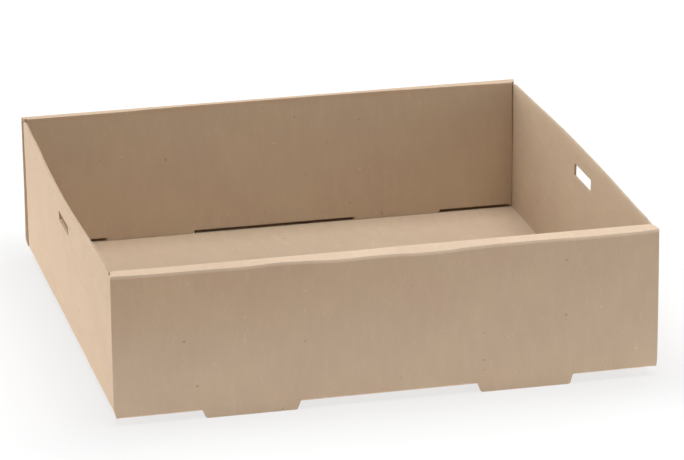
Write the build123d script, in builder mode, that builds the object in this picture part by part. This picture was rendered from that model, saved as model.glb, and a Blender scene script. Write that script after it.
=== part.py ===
"""Open tray box folded from one die-cut sheet of fine fluted board.

Each long wall folds up from the floor, rolls over a flat rim and comes down again inside, where
two tabs on its free edge go through windows in the floor. The end walls are one board thick, and
their corner flaps are trapped between the two layers of the long walls. The board cut out of
each window stays on the long wall as a tongue, and the tray stands on these four tongues.

X runs along the long walls, the front long wall is at -Y and Z is up. The origin is under the
middle of the tray, level with the ends of the tongues.
"""

import os

from build123d import *

# Overall sizes in millimetres
length = 305.0
depth = 294.0
wall_height = 81.5

# The board and its creases
board = 1.5
fold_inside = 0.2
layer_gap = 0.3

# Long walls: play between the layers at the foot, and what the rolled rim adds to their width
layer_play = 1.4
rim_spread = 1.8
end_relief = 1.3
end_relief_height = 5.5

# Inner panels of the long walls
foot_gap = 2.0
end_gap_top = 0.4
end_gap_foot = 1.0

# Tongues, and the tabs that go through the windows behind them
tongue_centre = 76.8
tongue_root = 54.0
tongue_tip = 50.5
tongue_corner = 1.0
die_slit = 0.3
tab_side_gap = 0.8
tab_taper = 2.0
tab_gap = 0.4
tab_reach = 1.5

# End walls: they lean out a little and bow outwards along their free top edge
end_inset_foot = 1.4
end_inset_top = 0.6
end_wall_drop = 1.4
end_wall_bow = 1.9

# Corner flaps
flap_length = 62.0
flap_top_gap = 0.5
flap_foot_gap = 1.5
flap_corner = 6.0
notch_clearance = 1.0

# Slots in the end walls
slot_length = 34.0
slot_height = 8.0
slot_below_rim = 12.8
slot_corner = 1.5

# Sizes that follow from the ones above
fold_outside = fold_inside + board
foot_width = 3 * board + layer_gap + layer_play
rim_width = foot_width + rim_spread
window_reach = foot_width + tab_gap
stand = window_reach - board
floor_top = stand + board
rim_top = stand + wall_height
front = -depth / 2
fold_half = length / 2 - end_inset_foot - fold_outside
flap_face = front + board + layer_gap
window_half = tongue_root / 2 + die_slit
tab_root = 2 * (window_half - tab_side_gap)


def outer_panel_outline():
    """Half of the outer panel seen from the front, with its tongue, as points from X = 0."""
    root, tip = tongue_root / 2, tongue_tip / 2
    return [
        (0, rim_top - fold_outside),
        (0, stand + fold_outside),
        (tongue_centre - root, stand + fold_outside),
        (tongue_centre - root, stand),
        (tongue_centre - tip, 0),
        (tongue_centre + tip, 0),
        (tongue_centre + root, stand),
        (tongue_centre + root, stand + fold_outside),
        (fold_half, stand + fold_outside),
        (fold_half, stand),
        (length / 2 - end_relief, stand),
        (length / 2, stand + end_relief_height),
        (length / 2, rim_top - fold_outside),
    ]


def inner_panel_outline():
    """Half of the inner panel seen from the front, with its tab, as points from X = 0."""
    foot = floor_top + foot_gap
    tab_end = stand - tab_reach
    top_half = length / 2 - end_inset_top - board - end_gap_top
    foot_half = length / 2 - end_inset_foot - board - end_gap_foot
    return [
        (0, rim_top + board),
        (0, foot),
        (tongue_centre - tab_root / 2, foot),
        (tongue_centre - tab_root / 2 + tab_taper, tab_end),
        (tongue_centre + tab_root / 2 - tab_taper, tab_end),
        (tongue_centre + tab_root / 2, foot),
        (foot_half, foot),
        (top_half, rim_top + board),
    ]


# The floor, the creases along its two long sides, and the windows cut from both
with BuildPart() as floor:
    with BuildSketch(Plane.XY.offset(stand)):
        Rectangle(2 * fold_half, depth - 2 * fold_outside)
    extrude(amount=board)
    with BuildSketch(Plane.YZ):
        with BuildLine():
            FilletPolyline(
                (front + 2 * fold_outside, stand),
                (front, stand),
                (front, stand + 2 * fold_outside),
                radius=fold_outside,
            )
            offset(amount=board, side=Side.RIGHT)
        make_face()
    extrude(amount=fold_half, both=True)
    mirror(about=Plane.XZ)
    with BuildSketch(Plane.XY.offset(stand)):
        with GridLocations(2 * tongue_centre, depth - window_reach, 2, 2):
            Rectangle(2 * window_half, window_reach)
    extrude(amount=2 * fold_outside, mode=Mode.SUBTRACT)


# The inner panel of the front wall, from the rim down to its two tabs
with BuildPart() as inner_panel:
    with BuildSketch(Plane.YZ):
        with BuildLine():
            FilletPolyline(
                (front + fold_outside, rim_top),
                (front + rim_width, rim_top),
                (front + foot_width, stand - 2 * tab_reach),
                radius=fold_outside,
            )
            offset(amount=board, side=Side.RIGHT)
        make_face()
    extrude(amount=length / 2, both=True)
    with BuildSketch(Plane.XZ):
        with BuildLine():
            Polyline(*inner_panel_outline(), close=True)
        make_face()
        mirror(about=Plane.YZ)
    extrude(amount=depth, both=True, mode=Mode.INTERSECT)


# The front wall: the outer panel with its tongues, the rolled rim and the inner panel
with BuildPart() as long_wall:
    with BuildSketch(Plane.XZ.offset(-front - board)):
        with BuildLine():
            Polyline(*outer_panel_outline(), close=True)
        make_face()
        mirror(about=Plane.YZ)
    extrude(amount=board)
    tongue_edges = long_wall.edges().filter_by(Axis.Y).group_by(Axis.Z)[0]
    fillet(tongue_edges, radius=tongue_corner)
    with BuildSketch(Plane.YZ):
        with BuildLine():
            FilletPolyline(
                (front, rim_top - 2 * fold_outside),
                (front, rim_top),
                (front + rim_width - fold_outside, rim_top),
                radius=fold_outside,
            )
            offset(amount=board, side=Side.RIGHT)
        make_face()
    extrude(amount=length / 2, both=True)
    add(inner_panel.part)


def end_wall_skin(face_x, sag, inside):
    """One skin of the left end wall and its flaps in plan, this far inside the outer face."""
    radius = fold_outside - inside
    wall_x = face_x + inside
    flap_y = flap_face + inside
    front_flap = Line((face_x + flap_length, flap_y), (wall_x + radius, flap_y))
    front_corner = RadiusArc(front_flap @ 1, (wall_x, flap_y + radius), radius)
    wall_face = Spline(
        front_corner @ 1,
        (wall_x - sag, 0),
        (wall_x, -flap_y - radius),
        tangents=[(0, 1), (0, 1)],
    )
    rear_corner = RadiusArc(wall_face @ 1, (wall_x + radius, -flap_y), radius)
    rear_flap = Line(rear_corner @ 1, (face_x + flap_length, -flap_y))
    return front_flap @ 0, rear_flap @ 1


def end_wall_section(height, inset, sag):
    """The left end wall and its flaps in plan, at this height."""
    face_x = inset - length / 2
    with BuildSketch(Plane.XY.offset(height)) as section:
        with BuildLine():
            outer_front, outer_rear = end_wall_skin(face_x, sag, 0)
            inner_front, inner_rear = end_wall_skin(face_x, sag, board)
            Line(outer_front, inner_front)
            Line(outer_rear, inner_rear)
        make_face()
    return section.sketch


# The left end wall with its crease to the floor and its two corner flaps
with BuildPart() as end_wall:
    foot_section = end_wall_section(stand + fold_outside, end_inset_foot, 0)
    top_section = end_wall_section(rim_top - end_wall_drop, end_inset_top, end_wall_bow)
    loft([foot_section.face(), top_section.face()], ruled=True)

    # Nothing of the wall or its flaps stands higher than this under the rolled rims
    flap_top = rim_top - board - flap_top_gap
    with BuildSketch(Plane.YZ.offset(-length / 2 - 2 * end_wall_bow)):
        with BuildLine():
            notch = rim_width + notch_clearance
            Polyline(
                (front, flap_top),
                (front + notch, flap_top),
                (front + notch + board, rim_top),
                (front, rim_top),
                close=True,
            )
        make_face()
        mirror(about=Plane.XZ)
    extrude(amount=2 * flap_length, mode=Mode.SUBTRACT)
    with BuildSketch(Plane.XY.offset(stand)):
        with GridLocations(0, 2 * flap_face, 1, 2):
            Rectangle(2 * length, 2 * fold_outside)
    extrude(amount=board + flap_foot_gap, mode=Mode.SUBTRACT)
    flap_ends = end_wall.edges().filter_by(Axis.Y).sort_by(Axis.X)[-4:]
    fillet(flap_ends, radius=flap_corner)

    with BuildSketch(Plane.XZ):
        with BuildLine():
            FilletPolyline(
                (-fold_half + fold_outside, stand),
                (-fold_half - fold_outside, stand),
                (-fold_half - fold_outside, stand + fold_outside + board / 2),
                radius=fold_outside,
            )
            offset(amount=board, side=Side.RIGHT)
        make_face()
    extrude(amount=-flap_face - fold_outside, both=True)

    with BuildSketch(Plane.YZ.offset(-length / 2)):
        with Locations((0, rim_top - slot_below_rim - slot_height / 2)):
            RectangleRounded(slot_length, slot_height, slot_corner)
    extrude(amount=length / 4, both=True, mode=Mode.SUBTRACT)


# The whole folded sheet
with BuildPart() as tray:
    add(floor.part)
    add(long_wall.part)
    mirror(long_wall.part, about=Plane.XZ)
    add(end_wall.part)
    mirror(end_wall.part, about=Plane.YZ)

tray.part.label = "tray"
os.makedirs("parts", exist_ok=True)
export_step(tray.part, "parts/tray.step")
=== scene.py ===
import bisect
import math

import bmesh
import bpy
from mathutils import Matrix, Vector, noise


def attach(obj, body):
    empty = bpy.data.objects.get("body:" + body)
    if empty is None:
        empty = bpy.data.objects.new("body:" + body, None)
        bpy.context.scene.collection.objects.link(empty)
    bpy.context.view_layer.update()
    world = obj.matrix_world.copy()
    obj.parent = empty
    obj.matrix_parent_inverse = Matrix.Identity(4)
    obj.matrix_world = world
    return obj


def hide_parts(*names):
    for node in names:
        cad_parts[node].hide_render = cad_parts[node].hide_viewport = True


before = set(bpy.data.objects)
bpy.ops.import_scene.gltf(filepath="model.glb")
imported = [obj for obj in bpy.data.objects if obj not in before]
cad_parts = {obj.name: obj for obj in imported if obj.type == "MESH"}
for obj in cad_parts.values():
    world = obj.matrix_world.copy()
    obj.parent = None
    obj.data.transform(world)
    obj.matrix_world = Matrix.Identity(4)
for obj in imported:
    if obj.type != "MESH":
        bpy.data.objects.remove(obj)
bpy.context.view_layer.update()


# The board. Fine fluted kraft board, a millimetre and a half thick: two brown paper liners glued
# over a fluted sheet whose flutes run the long way of the tray. The fibres of the paper cross
# them. Every pattern follows the sheet's own flat coordinates, so it runs on round the folds.
BOARD = 0.0015
HALF_FLUTE = 0.00165
FLAT = "flat_place"
LINER_COLOUR, LINER_SPECK, LINER_PALE = (200, 176, 151), (122, 98, 76), (228, 212, 194)
INNER_LINER_COLOUR = (199, 178, 154)
CORE_COLOUR, CORE_SPECK, CORE_PALE = (178, 150, 122), (120, 94, 72), (206, 180, 150)
PAPER_SPECULAR = 0.25
SMOOTHEST, ROUGHEST, ROUGHNESS_SPREAD = 0.82, 0.96, (0.3, 0.7)
BUMP_STRENGTH, BUMP_DEPTH, FELT_HEIGHT = 0.35, 0.00006, 0.5

# The paper's patterns, and how much each of them changes the shade or the hue
FIBRE_STRETCH = 0.3
FIBRE_SCALE, HAIR_SCALE, MOTTLE_SCALE, CLOUD_SCALE = 950, 330, 190, 26
FELT_SPREAD, MOTTLE_SPREAD, CLOUD_SPREAD = (0.25, 0.75), (0.3, 0.7), (0.35, 0.65)
FELT_SHADE, MOTTLE_SHADE, HUE_DRIFT = 0.022, 0.018, 0.0025
HAIR_WIDTH, HAIR_PATCHES, HAIR_SHARE, HAIR_HEIGHT = 0.012, (0.52, 0.62), 0.30, 0.25
SPECK_SCALE, SPECK_WARP, SPECK_EDGE, SPECK_SHARE = 150, 0.0016, (-0.02, 0.01), 0.55
# A cell has a speck if its chance is above the first of these, and it grows to the second
SPECK_ABOVE, SPECK_REACH = 0.93, 0.10
PALE_BELOW, DARK_ABOVE = 0.40, 0.42

# Places on the flat sheet: the front rim with its soft edge, and where both inner panels begin
RIM_FROM, RIM_TO, RIM_EDGE, INNER_FROM = -0.2365, -0.2262, 0.0006, 0.2368
# A painted highlight makes the front rim paler, least at its left end
RIM_HIGHLIGHT, RIM_HIGHLIGHT_SATURATION = 1.25, 0.92
HIGHLIGHT_LEFT, HIGHLIGHT_MIDDLE, HIGHLIGHT_LEAST, HIGHLIGHT_MOST = -0.11, 0.0, 0.4, 0.9
# Below it the front wall has painted shade, darker and warmer towards its top, most at the left
FRONT_SHADE, FRONT_SHADE_TOP, FRONT_SHADE_FOOT = (0.92, 0.85, 0.80, 1.0), -0.226, -0.165
FRONT_SHADE_LEFT, FRONT_SHADE_RIGHT, FRONT_SHADE_MOST, FRONT_SHADE_LEAST = -0.15, 0.13, 1.0, 0.35


def srgb(colour):
    """A colour written as three sRGB numbers up to 255, as linear RGBA."""
    return (*(((c / 255 + 0.055) / 1.055) ** 2.4 for c in colour), 1.0)


def add_node(tree, kind, inputs=None, **settings):
    """A node of this kind, with its settings, and its inputs given as values or links."""
    made = tree.nodes.new(kind)
    for name, value in settings.items():
        setattr(made, name, value)
    for name, value in (inputs or {}).items():
        if isinstance(value, bpy.types.NodeSocket):
            tree.links.new(value, made.inputs[name])
        else:
            made.inputs[name].default_value = value
    return made


def maths(tree, operation, first, second=0.0):
    """What one Math node puts out."""
    return add_node(tree, "ShaderNodeMath", {0: first, 1: second}, operation=operation).outputs[0]


def stretch(tree, value, low, high, to_low=0.0, to_high=1.0):
    """The value eased from low..high to to_low..to_high, and held there beyond them."""
    reach = {"Value": value, "From Min": low, "From Max": high, "To Min": to_low, "To Max": to_high}
    made = add_node(tree, "ShaderNodeMapRange", reach, interpolation_type="SMOOTHSTEP")
    return made.outputs["Result"]


def mixed(tree, share, first, second, blend="MIX"):
    """The first colour with this share of the second one."""
    both = {0: share, 6: first, 7: second}
    return add_node(tree, "ShaderNodeMix", both, data_type="RGBA", blend_type=blend).outputs[2]


def noise_of(tree, place, scale, detail, roughness=0.5, distortion=0.0):
    """A Noise Texture at this place."""
    values = {
        "Vector": place,
        "Scale": scale,
        "Detail": detail,
        "Roughness": roughness,
        "Distortion": distortion,
    }
    return add_node(tree, "ShaderNodeTexNoise", values)


paper = bpy.data.node_groups.new("recycled_paper", "ShaderNodeTree")
for name, kind in (
    ("Place", "NodeSocketVector"),
    ("Colour", "NodeSocketColor"),
    ("Speck colour", "NodeSocketColor"),
    ("Pale fibre", "NodeSocketColor"),
    ("Cloud", "NodeSocketFloat"),
    ("Specks", "NodeSocketFloat"),
):
    paper.interface.new_socket(name, in_out="INPUT", socket_type=kind)
for name, kind in (
    ("Colour", "NodeSocketColor"),
    ("Roughness", "NodeSocketFloat"),
    ("Height", "NodeSocketFloat"),
):
    paper.interface.new_socket(name, in_out="OUTPUT", socket_type=kind)
given = paper.nodes.new("NodeGroupInput").outputs
across_flutes = add_node(
    paper, "ShaderNodeMapping", {"Vector": given["Place"], "Scale": (1.0, FIBRE_STRETCH, 1.0)}
).outputs[0]
felt = noise_of(paper, across_flutes, FIBRE_SCALE, detail=5, roughness=0.65).outputs["Fac"]
mottle = noise_of(paper, across_flutes, MOTTLE_SCALE, detail=4, roughness=0.6).outputs["Fac"]
cloud = noise_of(paper, given["Place"], CLOUD_SCALE, detail=3).outputs["Fac"]

# Single fibres are the lines where a winding noise passes its middle, here and there
winding = noise_of(paper, across_flutes, HAIR_SCALE, detail=2, distortion=0.6).outputs["Fac"]
from_middle = maths(paper, "ABSOLUTE", maths(paper, "SUBTRACT", winding, 0.5))
hairs = maths(
    paper, "MULTIPLY",
    stretch(paper, from_middle, 0.0, HAIR_WIDTH, 1, 0),
    stretch(paper, mottle, *HAIR_PATCHES),
)

# Specks are ragged spots of uneven size, more of them dark than pale
warp = noise_of(paper, given["Place"], FIBRE_SCALE, detail=2).outputs["Color"]
ragged = mixed(paper, SPECK_WARP, given["Place"], warp, "LINEAR_LIGHT")
cells = add_node(
    paper, "ShaderNodeTexVoronoi", {"Vector": ragged, "Scale": SPECK_SCALE}, voronoi_dimensions="2D"
)
chance = add_node(paper, "ShaderNodeSeparateColor", {"Color": cells.outputs["Color"]}).outputs
reach = stretch(paper, chance["Red"], SPECK_ABOVE, 1.0, 0.0, SPECK_REACH)
past_reach = maths(paper, "SUBTRACT", cells.outputs["Distance"], reach)
spot = maths(paper, "MULTIPLY", stretch(paper, past_reach, *SPECK_EDGE, 1, 0), given["Specks"])
is_dark = stretch(paper, chance["Green"], PALE_BELOW, DARK_ABOVE)
dark_spot = maths(paper, "MULTIPLY", spot, is_dark)
pale_spot = maths(paper, "MULTIPLY", spot, maths(paper, "SUBTRACT", 1.0, is_dark))

# The recycled pulp drifts between a redder and a greener brown, and between dark and pale
hue = stretch(paper, cloud, *CLOUD_SPREAD, 0.5 - HUE_DRIFT, 0.5 + HUE_DRIFT)
clouded = maths(paper, "MULTIPLY", maths(paper, "SUBTRACT", cloud, 0.5), given["Cloud"])
mottled = stretch(paper, mottle, *MOTTLE_SPREAD, -MOTTLE_SHADE, MOTTLE_SHADE)
shade = maths(
    paper, "ADD",
    stretch(paper, felt, *FELT_SPREAD, 1 - FELT_SHADE, 1 + FELT_SHADE),
    maths(paper, "ADD", mottled, clouded),
)
tone = add_node(
    paper, "ShaderNodeHueSaturation", {"Color": given["Colour"], "Hue": hue, "Value": shade}
).outputs[0]
for mask, share, colour in (
    (hairs, HAIR_SHARE, "Pale fibre"),
    (pale_spot, SPECK_SHARE, "Pale fibre"),
    (dark_spot, SPECK_SHARE, "Speck colour"),
):
    tone = mixed(paper, maths(paper, "MULTIPLY", mask, share), tone, given[colour])
roughness = stretch(paper, felt, *ROUGHNESS_SPREAD, SMOOTHEST, ROUGHEST)
height = maths(paper, "ADD", felt, maths(paper, "MULTIPLY", hairs, HAIR_HEIGHT))
given_back = paper.nodes.new("NodeGroupOutput").inputs
for name, value in (("Colour", tone), ("Roughness", roughness), ("Height", height)):
    paper.links.new(value, given_back[name])


def board_material(name, colour, inner_colour, speck, pale, clouding, specks, flute_relief):
    """Recycled paper in these colours, with this much of the flutes showing through it."""
    material = bpy.data.materials.new(name)
    material.use_nodes = True
    tree = material.node_tree
    shader = tree.nodes["Principled BSDF"]
    place = add_node(tree, "ShaderNodeAttribute", attribute_name=FLAT).outputs["Vector"]
    where = add_node(tree, "ShaderNodeSeparateXYZ", {"Vector": place}).outputs
    inside = maths(
        tree, "MAXIMUM",
        stretch(tree, where["Z"], BOARD / 3, BOARD * 2 / 3),
        stretch(tree, maths(tree, "ABSOLUTE", where["Y"]), INNER_FROM, INNER_FROM + RIM_EDGE),
    )
    look = {
        "Place": place,
        "Colour": mixed(tree, inside, srgb(colour), srgb(inner_colour)),
        "Speck colour": srgb(speck),
        "Pale fibre": srgb(pale),
        "Cloud": clouding,
        "Specks": specks,
    }
    sheet = add_node(tree, "ShaderNodeGroup", look, node_tree=paper)

    past_rim = stretch(tree, where["Y"], RIM_TO - RIM_EDGE, RIM_TO + RIM_EDGE)
    on_rim = maths(
        tree, "MULTIPLY",
        stretch(tree, where["Y"], RIM_FROM - RIM_EDGE, RIM_FROM + RIM_EDGE),
        maths(tree, "SUBTRACT", 1.0, past_rim),
    )
    # Painted highlight: the front rim is made paler towards its middle and right
    highlight_share = stretch(tree, where["X"], HIGHLIGHT_LEFT, HIGHLIGHT_MIDDLE, HIGHLIGHT_LEAST, HIGHLIGHT_MOST)
    highlighted = {
        "Color": sheet.outputs["Colour"],
        "Fac": maths(tree, "MULTIPLY", on_rim, highlight_share),
        "Value": RIM_HIGHLIGHT,
        "Saturation": RIM_HIGHLIGHT_SATURATION,
    }
    tone = add_node(tree, "ShaderNodeHueSaturation", highlighted).outputs[0]
    # Painted shade: the front wall is darker and warmer towards its top and its left end
    painted_shade = maths(
        tree, "MULTIPLY", past_rim, stretch(tree, where["Y"], FRONT_SHADE_TOP, FRONT_SHADE_FOOT, 1, 0)
    )
    by_side = stretch(
        tree, where["X"], FRONT_SHADE_LEFT, FRONT_SHADE_RIGHT, FRONT_SHADE_MOST, FRONT_SHADE_LEAST
    )
    tone = mixed(tree, maths(tree, "MULTIPLY", painted_shade, by_side), tone, FRONT_SHADE, "MULTIPLY")

    flute = maths(tree, "SINE", maths(tree, "MULTIPLY", where["Y"], math.pi / HALF_FLUTE))
    relief = maths(
        tree, "ADD",
        maths(tree, "MULTIPLY", flute, flute_relief),
        maths(tree, "MULTIPLY", sheet.outputs["Height"], FELT_HEIGHT),
    )
    pressed = {"Height": relief, "Strength": BUMP_STRENGTH, "Distance": BUMP_DEPTH}
    bump = add_node(tree, "ShaderNodeBump", pressed)
    tree.links.new(tone, shader.inputs["Base Color"])
    tree.links.new(sheet.outputs["Roughness"], shader.inputs["Roughness"])
    tree.links.new(bump.outputs["Normal"], shader.inputs["Normal"])
    shader.inputs["Specular IOR Level"].default_value = PAPER_SPECULAR
    return material


liner = board_material(
    "kraft_liner", LINER_COLOUR, INNER_LINER_COLOUR, LINER_SPECK, LINER_PALE,
    clouding=0.10, specks=1.0, flute_relief=0.15,
)
core = board_material(
    "fluted_core", CORE_COLOUR, CORE_COLOUR, CORE_SPECK, CORE_PALE,
    clouding=0.05, specks=0.4, flute_relief=0.0,
)
CORE_SLOT = 1


# The blank. The tray is one die-cut sheet, here still flat with its outside liner down: the floor
# in the middle, the long walls with their rims and inner panels before and behind it, the end
# walls at its sides. Its rows are half a flute apart, because every cut edge shows the flutes.
LENGTH, DEPTH, WALL_HEIGHT = 0.305, 0.294, 0.0815
STAND = 0.0051
FOLD, FOLD_STEPS = 0.0017, 6
RIM_WIDTH, FOOT_WIDTH = 0.0080, 0.0062
INNER_FOOT, TAB_END = 0.0086, 0.0036
END_INSET_FOOT, END_INSET_TOP, END_DROP = 0.0014, 0.0006, 0.0006
FLAP_FACE, FLAP_LENGTH, FLAP_FOOT, FLAP_TOP = 0.1452, 0.0620, 0.0081, 0.0850
WINDOW_REACH, TONGUE_CENTRE, TONGUE_ROOT = 0.0066, 0.0768, 0.0540
SLOT_HALF, SLOT_LOW, SLOT_HIGH = 0.0170, 0.0658, 0.0738
NOTCH_HALF = 0.1384
CELL = 0.0072
NEAR = 1e-6


def crease_lines(start, turn):
    """Where the lines of one rounded crease lie on the flat sheet, from its start outwards."""
    chord = 2 * FOLD * math.sin(turn / FOLD_STEPS / 2)
    return [start + step * chord for step in range(FOLD_STEPS + 1)]


def stations(fixed, cell):
    """These places, with the stretches between them divided into cells of about this size."""
    places = [fixed[0]]
    for last, place in zip(fixed, fixed[1:]):
        parts = max(1, round((place - last) / cell))
        places += [last + (place - last) * part / parts for part in range(1, parts + 1)]
    return places


def both_ways(places):
    """The places and their mirror images, in order."""
    return [-place for place in reversed(places) if place > 0] + places


def lay_flat(bm, xs, ys):
    """The faces of a flat grid with its lines at these places, level with the floor's underside."""
    across, along = len(xs) - 1, len(ys) - 1
    made = bmesh.ops.create_grid(bm, x_segments=across, y_segments=along, size=1.0)
    for v in made["verts"]:
        column, row = round((v.co.x + 1) / 2 * across), round((v.co.y + 1) / 2 * along)
        v.co = (xs[column], ys[row], STAND)
    return {f for v in made["verts"] for f in v.link_faces}


def cut_away(bm, faces, waste):
    """Takes out those of the faces whose middles the test finds."""
    found = [f for f in faces if waste(*f.calc_center_median().xy)]
    bmesh.ops.delete(bm, geom=found, context="FACES")


half_depth, half_length = DEPTH / 2, LENGTH / 2
rim_top = STAND + WALL_HEIGHT
fold_half = half_length - END_INSET_FOOT - FOLD
lean_in = math.atan((RIM_WIDTH - FOOT_WIDTH) / (WALL_HEIGHT + 2 * BOARD))
lean_out = math.atan((END_INSET_FOOT - END_INSET_TOP) / (WALL_HEIGHT - END_DROP - FOLD))

# The creases and edges outwards from the middle, first along the long walls
foot_lines = crease_lines(half_depth - FOLD, math.pi / 2)
rim_lines = crease_lines(foot_lines[-1] + WALL_HEIGHT - 2 * FOLD, math.pi / 2)
inner_turn = math.pi / 2 + lean_in
inner_cut = FOLD * math.tan(inner_turn / 2)
inner_lines = crease_lines(rim_lines[-1] + RIM_WIDTH - FOLD - inner_cut, inner_turn)


def inner_place(height):
    """How far out on the flat sheet a height of the inner panel lies."""
    return inner_lines[-1] + (rim_top - inner_cut * math.cos(lean_in) - height) / math.cos(lean_in)


end_turn = math.pi / 2 - lean_out
end_lines = crease_lines(fold_half, end_turn)


def end_place(height):
    """How far out on the flat sheet a height of the end wall lies."""
    return end_lines[-1] + (height - STAND - FOLD) / math.cos(lean_out)


inner_foot, tab_end = inner_place(INNER_FOOT), inner_place(TAB_END)
slot_low, slot_high = end_place(SLOT_LOW), end_place(SLOT_HIGH)
flap_foot, flap_top = end_place(FLAP_FOOT), end_place(FLAP_TOP)
end_top = end_place(rim_top - END_DROP)
flap_lines = crease_lines(FLAP_FACE - FOLD, math.pi / 2)
tongue_sides = [TONGUE_CENTRE - TONGUE_ROOT / 2, TONGUE_CENTRE + TONGUE_ROOT / 2]
window_edge = half_depth - WINDOW_REACH

floor_rows = stations([0, SLOT_HALF, NOTCH_HALF, window_edge, flap_lines[0]], HALF_FLUTE)[:-1]
long_rows = stations(
    [flap_lines[0], *foot_lines, *rim_lines, *inner_lines, inner_foot, tab_end], HALF_FLUTE
)
flap_rows = stations([*flap_lines, flap_lines[-1] + FLAP_LENGTH - FOLD], HALF_FLUTE)
wall_places, end_places = both_ways(floor_rows + long_rows), both_ways(floor_rows + flap_rows)

bm = bmesh.new()
flat = bm.verts.layers.float_vector.new(FLAT)
rides_wall = bm.verts.layers.int.new("rides_wall")
columns = both_ways(stations([0, *tongue_sides, fold_half, half_length], CELL))
cut_away(
    bm, lay_flat(bm, columns, wall_places),
    lambda x, y: abs(x) > fold_half and not foot_lines[-1] < abs(y) < inner_lines[0],
)
columns = stations([*end_lines, flap_foot, slot_low, slot_high, flap_top, end_top], CELL)
for places in (columns, [-x for x in reversed(columns)]):
    cut_away(
        bm, lay_flat(bm, places, end_places),
        lambda x, y: (abs(y) > flap_lines[0] and abs(x) < flap_foot)
        or (abs(y) > NOTCH_HALF and abs(x) > flap_top),
    )
bmesh.ops.remove_doubles(bm, verts=bm.verts, dist=NEAR)
bmesh.ops.reverse_faces(bm, faces=bm.faces)


# The cuts. The die cuts a three-sided slit for each tongue out of the floor and leaves it on the
# wall, so that it stands down as a foot when the wall folds up and its hole becomes the window
# that a tab of the inner panel plugs into. It also cuts the finger slots and trims the corners.
DIE_SLIT = 0.0003
TONGUE_TIP = 0.0505
TAB_SIDE_GAP, TAB_TAPER = 0.0005, 0.0020
END_RELIEF_LEFT, END_RELIEF_RIGHT, END_RELIEF_HEIGHT = 0.0013, 0.0005, 0.0055
INNER_HALF_TOP, INNER_HALF_FOOT = 0.1499, 0.1493
RIM_TAPER = 0.0012
NOTCH_EASE = 0.0003
LUG = 0.0012
FLAP_CORNER = 0.006
# Both slots are cut a little forward of the middle, and the left one is the smaller
SLOT_FORWARD, SLOT_EASE = 0.0020, 0.03
LEFT_SLOT_SHORTER, LEFT_SLOT_SLIMMER = 0.0017, 0.0008


def is_at(place, *others):
    """True if the place is one of the others, on either side of the middle."""
    return any(abs(abs(place) - other) < NEAR for other in others)


def outwards(place):
    """1 on the right or behind, -1 on the left or in front."""
    return math.copysign(1, place)


def share_of(place, start, end):
    """How much of the way from the start to the end lies behind this place, on either side."""
    return (abs(place) - start) / (end - start)


def held(value):
    """The value, or the nearer of 0 and 1 where it is beyond them."""
    return min(max(value, 0), 1)


def within_tongue(x):
    return tongue_sides[0] < abs(x) < tongue_sides[1]


def in_slot(x, y):
    return abs(y) < SLOT_HALF and slot_low < abs(x) < slot_high


def end_relief(x):
    return END_RELIEF_LEFT if x < 0 else END_RELIEF_RIGHT


def trim(v):
    """Draws a vertex at the end of a panel, or beside a tongue, to where the die cuts it."""
    x, y = v.co.xy
    out = outwards(x)
    if is_at(x, *tongue_sides):
        from_middle = out * outwards(abs(x) - TONGUE_CENTRE)
        if window_edge - NEAR < abs(y) < foot_lines[-1] - NEAR:
            v.co.x += from_middle * DIE_SLIT
        elif abs(y) > inner_foot - NEAR:
            narrowed = TAB_TAPER * share_of(y, inner_foot, tab_end)
            v.co.x -= from_middle * (TAB_SIDE_GAP - DIE_SLIT + narrowed)
    elif is_at(x, half_length) and rim_lines[-1] + NEAR < abs(y) < inner_lines[0] + NEAR:
        v.co.x -= out * RIM_TAPER * share_of(y, rim_lines[-1], inner_lines[0])
    elif is_at(x, fold_half) and abs(y) > inner_lines[0] - NEAR:
        drawn = share_of(y, inner_lines[0], inner_foot)
        v.co.x = out * (INNER_HALF_TOP + (INNER_HALF_FOOT - INNER_HALF_TOP) * drawn)
    elif is_at(x, half_length) and abs(y) < foot_lines[-1] + END_RELIEF_HEIGHT - FOLD:
        up = FOLD + abs(y) - foot_lines[-1]
        v.co.x -= out * end_relief(x) * (1 - up / END_RELIEF_HEIGHT)
    elif is_at(x, end_top) and is_at(y, NOTCH_HALF):
        v.co.y -= outwards(y) * NOTCH_EASE


def round_flap(v):
    """Draws a vertex that lies beyond a round corner of a flap in to it."""
    x, y = v.co.xy
    middle_y = flap_rows[-1] - FLAP_CORNER
    for middle_x in (flap_foot + FLAP_CORNER, flap_top - FLAP_CORNER):
        arm = Vector((abs(x) - middle_x, abs(y) - middle_y))
        beyond = arm.y > 0 and (arm.x < 0) == (middle_x < slot_low)
        if beyond and arm.length > FLAP_CORNER and abs(x) > flap_foot - NEAR:
            arm.length = FLAP_CORNER
            v.co.xy = (outwards(x) * (middle_x + arm.x), outwards(y) * (middle_y + arm.y))


def grow(bm, line, picked, steps):
    """Draws the cut edges picked on this line to the floor in steps, and gives their vertices."""
    edges = [
        e
        for e in bm.edges
        if e.is_boundary
        and all(is_at(v.co.y, line) for v in e.verts)
        and picked(sum(v.co.x for v in e.verts) / 2)
    ]
    grown = []
    for step in steps:
        made = bmesh.ops.extrude_edge_only(bm, edges=edges)["geom"]
        verts = {g for g in made if isinstance(g, bmesh.types.BMVert)}
        edges = [g for g in made if isinstance(g, bmesh.types.BMEdge) and verts.issuperset(g.verts)]
        for v in verts:
            v.co.y -= outwards(v.co.y) * step
        grown += verts
    return grown


cut_away(
    bm, bm.faces[:],
    lambda x, y: in_slot(x, y)
    or (within_tongue(x) and window_edge < abs(y) < foot_lines[-1])
    or (abs(y) > inner_foot and not within_tongue(x)),
)
for v in bm.verts:
    trim(v)
    round_flap(v)

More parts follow.
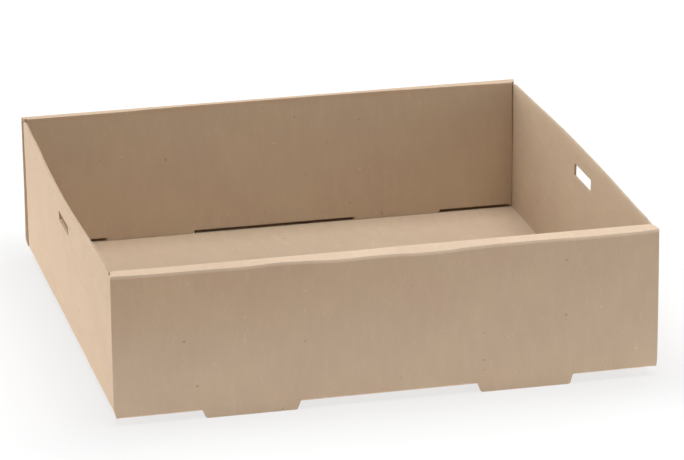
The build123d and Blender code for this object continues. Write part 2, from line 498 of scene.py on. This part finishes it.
# The tongues, and the short lug that the slits leave under each end of the long walls
tongues = grow(bm, foot_lines[-1], within_tongue, [FOLD, STAND / 3, STAND / 3, STAND / 3])
for v in tongues:
    drawn = min(0, abs(v.co.y) - foot_lines[-1] + FOLD) / STAND
    middle = outwards(v.co.x) * TONGUE_CENTRE
    v.co.x = middle + (v.co.x - middle) * (1 + drawn * (1 - TONGUE_TIP / TONGUE_ROOT))
lugs = grow(bm, foot_lines[-1], lambda x: abs(x) > fold_half, [LUG])
for v in lugs:
    beside_floor = abs(v.co.x) < fold_half + CELL / 4
    v.co.x = outwards(v.co.x) * (
        fold_half + DIE_SLIT if beside_floor else half_length - end_relief(v.co.x)
    )

for v in bm.verts:
    v[flat] = (v.co.x, v.co.y, 0.0)
for v in tongues + lugs:
    v[rides_wall] = 1

# The slots are moved and made smaller together with the board round them
for v in bm.verts:
    x, y = v[flat].xy
    if abs(x) > end_lines[-1]:
        shorter = LEFT_SLOT_SHORTER * min(max(y / SLOT_HALF, -1), 1) if x < 0 else 0
        v.co.y -= held(1 - (abs(y) - SLOT_HALF) / SLOT_EASE) * (SLOT_FORWARD + shorter)
        if x < 0 and abs(y) < SLOT_HALF + NEAR and is_at(x, slot_low, slot_high):
            v.co.x += LEFT_SLOT_SLIMMER * (-1 if is_at(x, slot_low) else 1)


# The folds. Each long wall folds up, rolls over its flat rim and comes down again inside. The end
# walls fold up with a flap at each of their sides, and the flaps stand between the two layers of
# the long walls. A crease is rounded, and everything past it turns with it.
def fold(bm, lines, turn, axis, side, moves):
    """Folds what moves with the crease upwards, in equal turns about its lines, outermost first."""
    spread = Vector((0, side, 0)) if axis == "X" else Vector((side, 0, 0))
    sense = side if axis == "X" else -side
    for number, line in reversed(list(enumerate(lines))):
        share = 0.5 if number in (0, FOLD_STEPS) else 1.0
        bmesh.ops.rotate(
            bm,
            cent=spread * line + Vector((0, 0, STAND)),
            matrix=Matrix.Rotation(sense * turn * share / FOLD_STEPS, 3, axis),
            verts=[v for v in bm.verts if moves(v, spread.dot(v[flat]) - line)],
        )


def on_long_wall(v):
    beside_floor = abs(v[flat].x) < half_length + NEAR and abs(v[flat].y) > flap_lines[0] + NEAR
    return beside_floor or v[rides_wall] == 1


def past_on_long_wall(v, past):
    return past > NEAR and on_long_wall(v)


def past_on_end_wall(v, past):
    return past > NEAR and not on_long_wall(v)


for side in (-1, 1):
    fold(bm, inner_lines, inner_turn, "X", side, past_on_long_wall)
    fold(bm, rim_lines, math.pi / 2, "X", side, past_on_long_wall)
    fold(
        bm, foot_lines, math.pi / 2, "X", side,
        lambda v, past: past_on_long_wall(v, past) or v[rides_wall] * v[flat].y * side > 0,
    )
    fold(bm, flap_lines, math.pi / 2, "X", side, past_on_end_wall)
for side in (-1, 1):
    fold(bm, end_lines, end_turn, "Y", side, past_on_end_wall)
bm.normal_update()


# The thickness and the cut edges. The sheet gets its other liner, on the inside of the folds.
# Where a cut crosses the flutes, their open ends show as a row of small dark triangles between
# the liners. Where it runs along them, the fluted sheet is crushed in a little between the two.
CUT_INSET, FLUTE_DEPTH, FLUTE_TAPER = 0.00022, 0.0010, 0.00005
CRUSH_INSET, CRUSH_DEPTH = 0.00026, 0.00018
TOP_CRUSH, SHALLOW_DEPTH = 0.0005, 0.0004
PRESS = 14.0
SLOT_CORNER, TONGUE_CORNER, CORNER_STEPS = 0.0015, 0.0010, 4

outside = set(bm.verts)
bmesh.ops.solidify(bm, geom=bm.faces[:], thickness=BOARD)
for v in bm.verts:
    if v not in outside:
        v[flat] = (*v[flat].xy, BOARD)

# The two creases of each rim are pressed sharper than a true round, in their outer skin
for v in outside:
    for lines, start in ((rim_lines, 0), (inner_lines, math.pi / 2)):
        share = share_of(v[flat].y, lines[0], lines[-1])
        if 0 < share < 1 and on_long_wall(v):
            turn = share * math.pi / 2
            bulge = (math.cos(turn) ** PRESS + math.sin(turn) ** PRESS) ** (-1 / PRESS) - 1
            v.co.y += outwards(v[flat].y) * FOLD * bulge * math.cos(start + turn)
            v.co.z += FOLD * bulge * math.sin(start + turn)


def is_inside(v):
    return v[flat].z > BOARD / 2


# The knife has crushed the free top edges of the end walls
for v in bm.verts:
    if is_inside(v) and is_at(v[flat].x, end_top):
        v.co.x += outwards(v[flat].x) * TOP_CRUSH


def round_off(bm, radius, is_corner):
    """Rounds the corners of the cuts that the test finds by their flat place."""
    corners = [
        e
        for e in bm.edges
        if is_inside(e.verts[0]) != is_inside(e.verts[1]) and is_corner(*e.verts[0][flat].xy)
    ]
    bmesh.ops.bevel(
        bm,
        geom=corners,
        offset=radius,
        offset_type="OFFSET",
        segments=CORNER_STEPS,
        profile=0.5,
        affect="EDGES",
        material=-1,
    )


round_off(
    bm, SLOT_CORNER,
    lambda x, y: is_at(y, SLOT_HALF) and is_at(x, slot_low, slot_high),
)
tongue_end = foot_lines[-1] - FOLD - STAND
tip_sides = TONGUE_CENTRE - TONGUE_TIP / 2, TONGUE_CENTRE + TONGUE_TIP / 2
round_off(bm, TONGUE_CORNER, lambda x, y: is_at(y, tongue_end) and is_at(x, *tip_sides))

across, along = [], []
for f in bm.faces:
    if len(f.verts) == 4 and len({is_inside(v) for v in f.verts}) == 2:
        rail = next(e for e in f.edges if is_inside(e.verts[0]) and is_inside(e.verts[1]))
        run = rail.verts[1][flat] - rail.verts[0][flat]
        if abs(run.x) > abs(run.y):
            along.append(f)
        elif run.length > HALF_FLUTE / 2:
            across.append(f)

# The fluted sheet slants from one liner to the other and back again
flute_ends = []
for f in across:
    in_order = sorted(f.verts, key=lambda v: v[flat].y)
    middle = sum(v[flat].y for v in f.verts) / 4
    places = wall_places if on_long_wall(f.verts[0]) else end_places
    rising = bisect.bisect(places, middle) % 2 == 0
    start = next(v for v in in_order[:2] if is_inside(v) != rising)
    end = next(v for v in in_order[2:] if is_inside(v) == rising)
    flute_ends += [f, bmesh.utils.face_split(f, start, end)[0]]


def is_shallow(f):
    """True for a flute end in a crushed top edge, or in the narrow lug under a corner."""
    return all(abs(v[flat].x) > end_top - NEAR for v in f.verts) or any(
        v[rides_wall] == 1 and abs(v[flat].x) > fold_half for v in f.verts
    )


bmesh.ops.inset_individual(bm, faces=flute_ends, thickness=CUT_INSET, use_even_offset=True)
bmesh.ops.inset_region(
    bm, faces=along, thickness=CRUSH_INSET, use_boundary=True, use_even_offset=True
)
for f in flute_ends + along:
    f.material_index = CORE_SLOT
shallow = [f for f in flute_ends if is_shallow(f)]
deep = [f for f in flute_ends if not is_shallow(f)]
bmesh.ops.inset_individual(bm, faces=shallow, thickness=FLUTE_TAPER, depth=-SHALLOW_DEPTH)
bmesh.ops.inset_individual(bm, faces=deep, thickness=FLUTE_TAPER, depth=-FLUTE_DEPTH)
bmesh.ops.inset_region(
    bm, faces=along, thickness=FLUTE_TAPER, depth=-CRUSH_DEPTH, use_boundary=True
)


# How the tray has settled. Folded by hand, it is never quite true: the free top edges of the end
# walls bow outwards and sag, the front rim has come down unevenly, the rear one is pinched
# narrower, and the front stands lower at its left end. The panels aren't perfectly flat either.
END_BOW = 0.0019
CORNER_FROM, CORNER_REACH = 0.125, 0.014
FLAP_PLAY, FLAP_DIP, DIP_REACH, DIP_POWER = 0.0002, 0.0016, 0.012, 4
FOOT_LEFT, FOOT_RIGHT = -0.0012, 0.0001
REAR_CORNER_IN = 0.0008
PANEL_WAVE, WAVE_LENGTH, WAVE_SEED = 0.00022, 0.055, 7
# Places along an edge, from the left or from the front, with how far it has moved there
FRONT_SINKS = (
    (-0.152, 0.0011), (-0.125, 0.0013), (-0.020, 0.0011), (0.010, 0.0008), (0.152, 0.0006),
)
# Only the outer crease of the front rim sags by this much as well
FRONT_SAG = (
    (-0.152, 0.0004), (-0.138, 0.0007), (-0.100, 0.0008), (-0.082, 0.0011), (-0.060, 0.0004),
    (-0.046, 0.0009), (-0.030, 0.0016), (-0.008, 0.0014), (0.004, 0.0016), (0.016, 0.0023),
    (0.030, 0.0022), (0.044, 0.0015), (0.060, 0.0010), (0.088, 0.0010), (0.112, 0.0014),
    (0.138, 0.0013), (0.152, 0.0008),
)
REAR_PINCH = (
    (-0.152, 0.0024), (-0.120, 0.0026), (-0.095, 0.0026), (-0.075, 0.0036), (-0.040, 0.0042),
    (0.020, 0.0044), (0.070, 0.0036), (0.095, 0.0026), (0.120, 0.0020), (0.152, 0.0006),
)
LEFT_SAG = ((-0.130, 0.0010), (-0.030, 0.0022), (0.060, 0.0024), (0.110, 0.0016), (0.136, 0.0005))
RIGHT_SAG = ((-0.120, 0.0008), (0.0, 0.0007), (0.050, 0.0003), (0.090, 0.0))


def eased(share):
    """The share, slowed down at both of its ends."""
    return share * share * (3 - 2 * share)


def on_curve(points, place):
    """What a smooth curve through these points says at this place."""
    number = min(max(bisect.bisect([p[0] for p in points], place), 1), len(points) - 1)
    (start, low), (end, high) = points[number - 1 : number + 1]
    return low + (high - low) * eased(held((place - start) / (end - start)))


def settle_long_wall(v, x, rise):
    """Lets the top of the front wall down, or pinches the rim of the rear one."""
    inwards = held((half_depth - abs(v.co.y)) / RIM_WIDTH)
    if v[flat].y < 0:
        v.co.z -= rise * (on_curve(FRONT_SINKS, x) + on_curve(FRONT_SAG, x) * (1 - inwards))
    else:
        v.co.y += on_curve(REAR_PINCH, x) * rise * inwards


def settle_end_wall(v, x, y, rise):
    """Bows an end wall, and lets its top edge sag and its flaps keep clear of the rims."""
    up = share_of(x, end_lines[-1], end_top)
    v.co.x += outwards(x) * END_BOW * up * (1 - eased(min(abs(y) / flap_lines[0], 1)))
    near_corner = held((abs(y) - CORNER_FROM) / CORNER_REACH)
    sunk = on_curve(FRONT_SINKS, v.co.x) + on_curve(FRONT_SAG, v.co.x) if y < 0 else 0
    v.co.z -= rise * near_corner * (sunk + FLAP_PLAY)
    v.co.z -= FLAP_DIP * rise**DIP_POWER * held((abs(y) - flap_lines[-1]) / DIP_REACH)
    v.co.z -= rise * up * (1 - near_corner) * on_curve(LEFT_SAG if x < 0 else RIGHT_SAG, y)


# Without a seed of its own the noise would be another one in each run
noise.seed_set(WAVE_SEED)
for v in bm.verts:
    x, y = v[flat].xy
    low = held((rim_top - v.co.z) / WALL_HEIGHT)
    rise = held((v.co.z - STAND - FOLD) / (WALL_HEIGHT - 2 * FOLD))
    if on_long_wall(v):
        settle_long_wall(v, x, rise)
    elif abs(x) > end_lines[-1]:
        settle_end_wall(v, x, y, rise)
    # The foot of the front wall is lower at its left end, and the lean fades towards the rear
    foot = FOOT_LEFT + (FOOT_RIGHT - FOOT_LEFT) * (v.co.x + half_length) / LENGTH
    v.co.z += foot * held((half_depth - v.co.y) / DEPTH) * low * min(v.co.z / STAND, 1)
    # The right end of the rear wall leans in a little
    behind, at_right = max(v.co.y / half_depth, 0), max(v.co.x / half_length, 0)
    v.co.x -= REAR_CORNER_IN * behind**2 * at_right * v.co.z / rim_top
    wave = noise.noise_vector(v.co / WAVE_LENGTH) - Vector((1, 1, 1))
    v.co.x += PANEL_WAVE * wave.x * v.co.x / half_length * min(v.co.z / STAND, 1)
    v.co.y += PANEL_WAVE * wave.y * v.co.y / half_depth * min(v.co.z / STAND, 1)

# Shading breaks at the cut edges and at the pressed creases, and runs on round all the others
SHARP = math.radians(35)
mesh = bpy.data.meshes.new("folded_tray")
bm.to_mesh(mesh)
bm.free()
mesh.materials.append(liner)
mesh.materials.append(core)
mesh.shade_smooth()
mesh.set_sharp_from_angle(angle=SHARP)
tray = bpy.data.objects.new("folded_tray", mesh)
bpy.context.scene.collection.objects.link(tray)
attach(tray, "root")
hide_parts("tray")


# The studio. A wide pale floor, six round soft lamps about the tray, most of their light from
# above, from the left and from behind, and a long lens from a little above on the left. Close to
# the tray the floor glows faintly, in place of the light that a table throws back on the walls.
FLOOR_COLOUR, FLOOR_SIZE = (246, 246, 246), 8.0
GLOW, GLOW_REACH = 0.38, 0.12
# The camera sees the floor lifted towards white, so that its shadows are as pale as in the
# photograph. The light that the floor throws on the tray isn't lifted.
FLOOR_SEEN = 0.20
LIFT_NEAR, LIFT_FAR, LIFT_REACH = 0.72, 0.84, 0.10
WORLD_STRENGTH = 0.12
LIGHTS = (
    ("top_softbox", (0.0, 0.0, 2.2), 1.8, 37.0),
    ("left_softbox", (-2.10, 0.30, 0.57), 1.4, 20.5),
    ("right_softbox", (1.50, -1.50, 0.40), 1.4, 8.0),
    ("front_softbox", (0.66, -0.66, 1.99), 1.4, 6.0),
    ("rear_left_softbox", (-1.50, 1.50, 0.57), 1.4, 8.0),
    ("rear_right_softbox", (1.50, 1.50, 0.57), 1.4, 30.0),
)
CAMERA_PLACE, CAMERA_TURN = (-0.50627, -2.19139, 0.80952), (71.3419, 0.5488, -13.4090)
SENSOR, FOCAL = 36.0, 217.816

bm = bmesh.new()
bmesh.ops.create_grid(bm, x_segments=1, y_segments=1, size=FLOOR_SIZE)
floor_mesh = bpy.data.meshes.new("studio_floor")
bm.to_mesh(floor_mesh)
bm.free()
floor = bpy.data.objects.new("studio_floor", floor_mesh)
bpy.context.scene.collection.objects.link(floor)


def seen_directly(tree):
    """1 for what the camera sees, also in a mirror or through glass, and 0 for the light itself."""
    path = tree.nodes.new("ShaderNodeLightPath").outputs
    seen = maths(tree, "MAXIMUM", path["Is Camera Ray"], path["Is Glossy Ray"])
    return maths(tree, "MAXIMUM", seen, path["Is Transmission Ray"])


paint = bpy.data.materials.new("studio_floor")
paint.use_nodes = True
tree = paint.node_tree
shader = tree.nodes["Principled BSDF"]
shader.inputs["Roughness"].default_value = 1.0
shader.inputs["Specular IOR Level"].default_value = 0.0
shader.inputs["Emission Color"].default_value = (1, 1, 1, 1)
seen = seen_directly(tree)
faint = (*(c * FLOOR_SEEN for c in srgb(FLOOR_COLOUR)[:3]), 1)
tree.links.new(mixed(tree, seen, srgb(FLOOR_COLOUR), faint), shader.inputs["Base Color"])

# How far a place on the floor is from under the tray
distance = tree.nodes.new("ShaderNodeTexCoord").outputs["Object"]
for operation, value, output in (
    ("ABSOLUTE", (0, 0, 0), "Vector"),
    ("SUBTRACT", (half_length, half_depth, 0), "Vector"),
    ("MAXIMUM", (0, 0, 0), "Vector"),
    ("LENGTH", (0, 0, 0), "Value"),
):
    distance = add_node(
        tree, "ShaderNodeVectorMath", {0: distance, 1: value}, operation=operation
    ).outputs[output]
lift = stretch(tree, distance, 0.0, LIFT_REACH, LIFT_NEAR, LIFT_FAR)
glow = stretch(tree, distance, 0.0, GLOW_REACH, GLOW, 0.0)
more = maths(tree, "MULTIPLY", seen, maths(tree, "SUBTRACT", lift, glow))
tree.links.new(maths(tree, "ADD", more, glow), shader.inputs["Emission Strength"])
floor_mesh.materials.append(paint)

world = bpy.data.worlds.new("studio")
world.use_nodes = True
bpy.context.scene.world = world
tree = world.node_tree
sky = tree.nodes["Background"]
sky.inputs["Color"].default_value = (1, 1, 1, 1)
lit = maths(tree, "MULTIPLY", seen_directly(tree), 1 - WORLD_STRENGTH)
tree.links.new(maths(tree, "ADD", lit, WORLD_STRENGTH), sky.inputs["Strength"])

for name, place, size, power in LIGHTS:
    lamp = bpy.data.lights.new(name, "AREA")
    lamp.shape, lamp.size, lamp.energy = "DISK", size, power
    light = bpy.data.objects.new(name, lamp)
    light.location = place
    light.rotation_euler = (-Vector(place)).to_track_quat("-Z", "Y").to_euler()
    bpy.context.scene.collection.objects.link(light)

lens = bpy.data.cameras.new("camera")
lens.sensor_width, lens.lens = SENSOR, FOCAL
camera = bpy.data.objects.new("camera", lens)
camera.location = CAMERA_PLACE
camera.rotation_euler = [math.radians(a) for a in CAMERA_TURN]
bpy.context.scene.collection.objects.link(camera)
bpy.context.scene.camera = camera
bpy.context.scene.view_settings.view_transform = "Standard"
